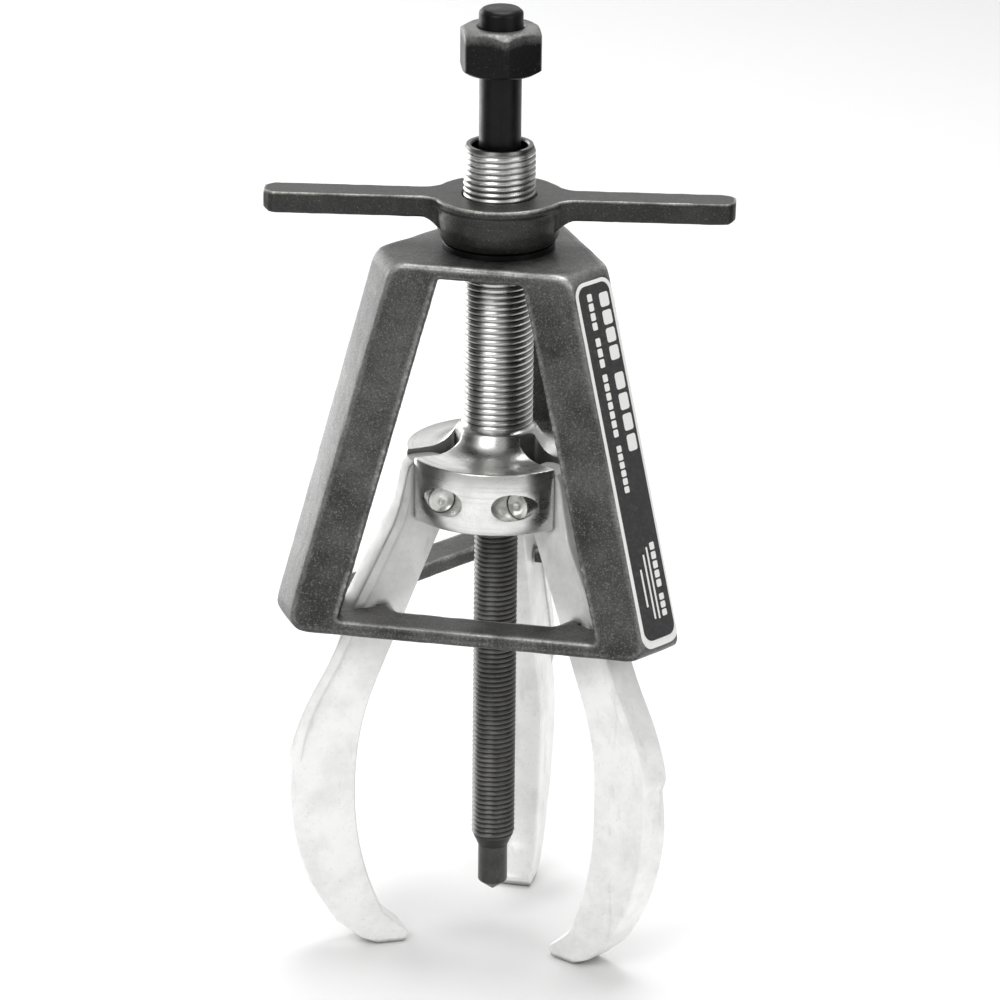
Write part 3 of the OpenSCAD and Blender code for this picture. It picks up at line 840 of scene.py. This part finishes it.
def make_label(skin):
    """A printed strip on the right leg: a white border, a black field, and rows of plain blocks."""
    foot, head, middle, half = 129.0, 253.0, 0.3, 9.1
    border, deep_border = 1.2, 2.8
    turn = Matrix.Rotation(math.radians(JAWS["right"]), 3, "Z")

    def sheet(outline, lift, material):
        """A film inside this outline, cut into small faces and laid on the leg."""
        bm = bmesh.new()
        bm.faces.new([bm.verts.new((x, y, 0)) for x, y in outline])
        xs, ys = [x for x, _ in outline], [y for _, y in outline]
        cuts = [((x, 0, 0), (1, 0, 0))
                for x in (-8.4, -7.2, -6, -4.5, -3, -1.5, 0, 1.5, 3, 4.5, 6, 7.2, 8.4)]
        cuts += [((0, foot + 0.8 * k, 0), (0, 1, 0)) for k in range(14)]
        cuts += [((0, foot + 3.0 * k, 0), (0, 1, 0)) for k in range(4, 42)]
        for place, across in cuts:
            if min(xs) < place[0] < max(xs) or min(ys) < place[1] < max(ys):
                bmesh.ops.bisect_plane(bm, geom=bm.verts[:] + bm.edges[:] + bm.faces[:], plane_co=place,
                                       plane_no=across)
        top = bmesh.ops.extrude_face_region(bm, geom=bm.faces[:])["geom"]
        raised = {g for g in top if isinstance(g, bmesh.types.BMVert)}
        for v in bm.verts:
            start, inward = turn @ Vector((100, v.co.x, v.co.y)), turn @ Vector((-1, 0, 0))
            spot, normal = skin.ray_cast(start, inward)[:2]
            v.co = spot + normal * (lift if v in raised else lift - 0.3)
        for f in bm.faces:
            f.material_index = material
        bmesh.ops.recalc_face_normals(bm, faces=bm.faces)
        return bm

    left, right = middle - half, middle + half
    field = rounded_outline(left + border, right - border * 1.3, foot + deep_border, head - border, 3.6)
    parts = [sheet(rounded_outline(left, right, foot, head, 4.6), 0.24, 1), sheet(field, 0.30, 0)]
    # Rows of blocks: left edge, width, lower end, upper end, number of blocks.
    rows = [(2.0, 4.6, 225.6, 249.5, 4), (2.0, 4.6, 194.7, 222.6, 4), (2.8, 2.4, 148.3, 164.1, 5),
             (2.8, 2.4, 138.5, 146.6, 3), (-3.8, 2.3, 236.9, 249.7, 4), (-3.8, 2.3, 224.3, 234.9, 3),
             (-3.8, 2.3, 200.8, 222.6, 7), (-3.8, 2.3, 181.9, 198.4, 6), (0.7, 0.8, 138.2, 162.5, 1),
             (-1.4, 0.8, 138.5, 160.4, 1), (-4.0, 0.8, 143.1, 155.9, 1)]
    for x, wide, low_end, high_end, count in rows:
        step = (high_end - low_end) / count
        for k in range(count):
            start = low_end + k * step
            end = start + step * (0.8 if count > 1 else 1)
            block = rounded_outline(x, x + wide, start, end, wide * 0.18, 2)
            parts.append(sheet(block, 0.35, 1))
    return new_piece("label_visual", joined(*parts), "cage", ["label"],
                     [MATERIALS["film"], MATERIALS["print"]])


# ---------------------------------------------------------------- T-handle

def make_handle():
    top, neck_bottom = high("t_handle"), low("t_handle")
    hub_bottom, angle = 258.4, 9.0
    arm_half, arm_low, edge = 6.15, 267.5, 0.3
    hub = lathe([(0.001, hub_bottom), (18.6, hub_bottom), (19.8, hub_bottom + 0.7), (21.0, hub_bottom + 3.0),
                 (21.9, hub_bottom + 6.6), (22.3, hub_bottom + 10), (22.3, hub_bottom + 13.2),
                 (22.5, top - 2.9), (23.1, top - 2.3), (23.1, top - 0.5), (22.6, top), (0.001, top)], 96)
    parts = [hub]
    for side in (0, 180):
        rows = []
        for x in (8, 15, 19, 21, 22.5, 24, 25.5, 27, 28.5, 30.5, 34, 45, 60, 73, 76, 78, 79.5, 80.8, 81.6):
            root = 1 - smooth((x - 19) / 9)
            bottom_z = blend(arm_low, hub_bottom + 6.0, root ** 1.8)
            half = blend(arm_half, 10.0, root ** 1.8)
            if side == 180:
                half -= 3.0 * max(x - 78.6, 0) / 3
                bottom_z += 1.2 * max(x - 79.5, 0) / 2
            else:
                half *= math.sqrt(1 - (0.93 * max(x - 76, 0) / 5.6) ** 2.6)
                bottom_z += 1.0 * max(x - 79.5, 0) / 2
            rows.append([(x, t, z) for t, z in (
                (-half, bottom_z + edge), (-half, top - edge), (-half + edge * 0.3, top - edge * 0.3),
                (-half + edge, top), (half - edge, top), (half - edge * 0.3, top - edge * 0.3),
                (half, top - edge), (half, bottom_z + edge), (half - edge, bottom_z),
                (-half + edge, bottom_z))])
        parts.append(turned(capped(rows), side))
    bm = forged(joined(*parts), 0.45, 4)
    mark_wear_and_highlight(bm)
    roughened(bm, 6.0, 0.10)
    roughened(bm, 2.0, 0.04)
    turned(bm, angle)
    neck_r, groove_r, groove = 16.5, 15.4, (248.85, 250.35)
    neck = lathe([(12.0, neck_bottom), (neck_r - 0.4, neck_bottom), (neck_r, neck_bottom + 0.3),
                  (neck_r, groove[0]), (groove_r, groove[0]), (groove_r, groove[1]), (neck_r, groove[1]),
                  (neck_r, hub_bottom + 2), (12.0, hub_bottom + 2)], 96)
    bm = combined(bm, [neck], "UNION")
    bore = lathe([(0.001, neck_bottom - 5), (12.6, neck_bottom - 5), (12.6, top - 0.9), (13.5, top + 0.4),
                  (13.5, top + 5), (0.001, top + 5)], 96)
    bm = combined(bm, [bore], "DIFFERENCE")
    return new_piece("t_handle_visual", bm, "handle", ["t_handle"],
                     [MATERIALS["handle"]], 50)


# ---------------------------------------------------------------- assembly

make_screw()
make_point()
make_nut()
make_ring("thrust_washer", "cage", "shank")
make_ring("neck_snap_ring", "handle", "spring")
make_ring("point_retaining_ring", "screw", "spring")
make_head()
for jaw_name, jaw_direction in JAWS.items():
    make_jaw(jaw_name, jaw_direction)
    make_pin(jaw_name, jaw_direction)
make_label(make_cage())
make_handle()


# ---------------------------------------------------------------- stage, light and camera

def stage_plane(name, size, place, material):
    """A square plane that belongs to the stage."""
    mesh = bpy.data.meshes.new(name)
    corners = [(-size, -size, 0), (size, -size, 0), (size, size, 0), (-size, size, 0)]
    mesh.from_pydata(corners, [], [(0, 1, 2, 3)])
    mesh.materials.append(material)
    plane = bpy.data.objects.new(name, mesh)
    plane.location = place
    bpy.context.collection.objects.link(plane)
    return plane


def soft_light(name, place, height, size, power):
    """A square or oblong lamp that faces the axis at this height. Metres and watts."""
    light = bpy.data.lights.new(name, "AREA")
    light.shape = "RECTANGLE"
    light.size, light.size_y = size
    light.energy = power
    lamp = bpy.data.objects.new(name, light)
    lamp.location = place
    lamp.rotation_euler = (Vector((0, 0, height)) - place).to_track_quat("-Z", "Y").to_euler()
    bpy.context.collection.objects.link(lamp)


def side_card(name, place, size, turn, material):
    """A dark card beside the object, seen only in its reflections."""
    card = stage_plane(name, 0.5, place, material)
    card.scale = (size[0], size[1], 1)
    card.rotation_euler = (math.radians(90), 0, math.radians(turn))
    card.visible_camera = False
    card.visible_shadow = False
    card.visible_diffuse = False


CAMERA_AZIMUTH, CAMERA_ELEVATION, CAMERA_ROLL = 12.6, 20.0, 0.6      # degrees
CAMERA_DISTANCE, CAMERA_LENS = 2.0, 204.84                           # metres, and millimetres of lens
facing = math.radians(CAMERA_AZIMUTH)
right_hand = Vector((math.cos(facing), math.sin(facing), 0))
away = Vector((-math.sin(facing), math.cos(facing), 0))


def beside(x, y, z):
    """A place given as right of, beyond and above the object, as the camera sees it."""
    return right_hand * x + away * y + Vector((0, 0, z))


floor_look = Look("pale_floor", (0.86, 0.86, 0.86), 0.0, 0.6)
floor_look.link(floor_look.mix(floor_look.noise(3, 2), (0.85, 0.85, 0.85), (0.87, 0.87, 0.87)), "Base Color")
card_look = Look("dark_card", (0.02, 0.02, 0.02), 0.0, 0.9)
stage_plane("floor", 6.0, (0, 0, -0.0002), floor_look.material)
side_card("card_left", beside(-0.62, -0.20, 0.2), (0.30, 0.9), CAMERA_AZIMUTH + 72, card_look.material)
side_card("card_right", beside(0.62, -0.09, 0.2), (0.46, 0.9), CAMERA_AZIMUTH - 82, card_look.material)

soft_light("key", beside(-0.75, -1.3, 1.3), 0.17, (0.8, 0.8), 11)
soft_light("fill", beside(1.2, -1.0, 0.9), 0.15, (0.8, 0.8), 6)
soft_light("top", beside(0.1, 0.3, 1.6), 0.1, (1.0, 1.0), 19)
soft_light("back", beside(0.2, 1.9, 1.15), 0.15, (2.0, 1.0), 4.5)
soft_light("rim", beside(-1.05, 1.15, 0.5), 0.15, (1.2, 0.8), 11)
soft_light("low", beside(-0.62, 0.5, 0.06), 0.1, (0.6, 0.1), 0.9)

world = bpy.data.worlds.new("studio")
world.use_nodes = True
backdrop = world.node_tree.nodes["Background"].inputs
backdrop["Color"].default_value = (1, 1, 1, 1)
backdrop["Strength"].default_value = 0.38
bpy.context.scene.world = world
bpy.context.scene.view_settings.view_transform = "Standard"

camera_data = bpy.data.cameras.new("camera")
camera_data.sensor_width = 36.0
camera_data.lens = CAMERA_LENS
camera = bpy.data.objects.new("camera", camera_data)
tilt = math.radians(CAMERA_ELEVATION)
look_at = beside(0.0013, 0, 0.1625)
camera.location = look_at + beside(0, -CAMERA_DISTANCE * math.cos(tilt), CAMERA_DISTANCE * math.sin(tilt))
level = (look_at - camera.location).to_track_quat("-Z", "Y")
camera.rotation_euler = (level.to_matrix() @ Matrix.Rotation(math.radians(CAMERA_ROLL), 3, "Z")).to_euler()
bpy.context.collection.objects.link(camera)
bpy.context.scene.camera = camera
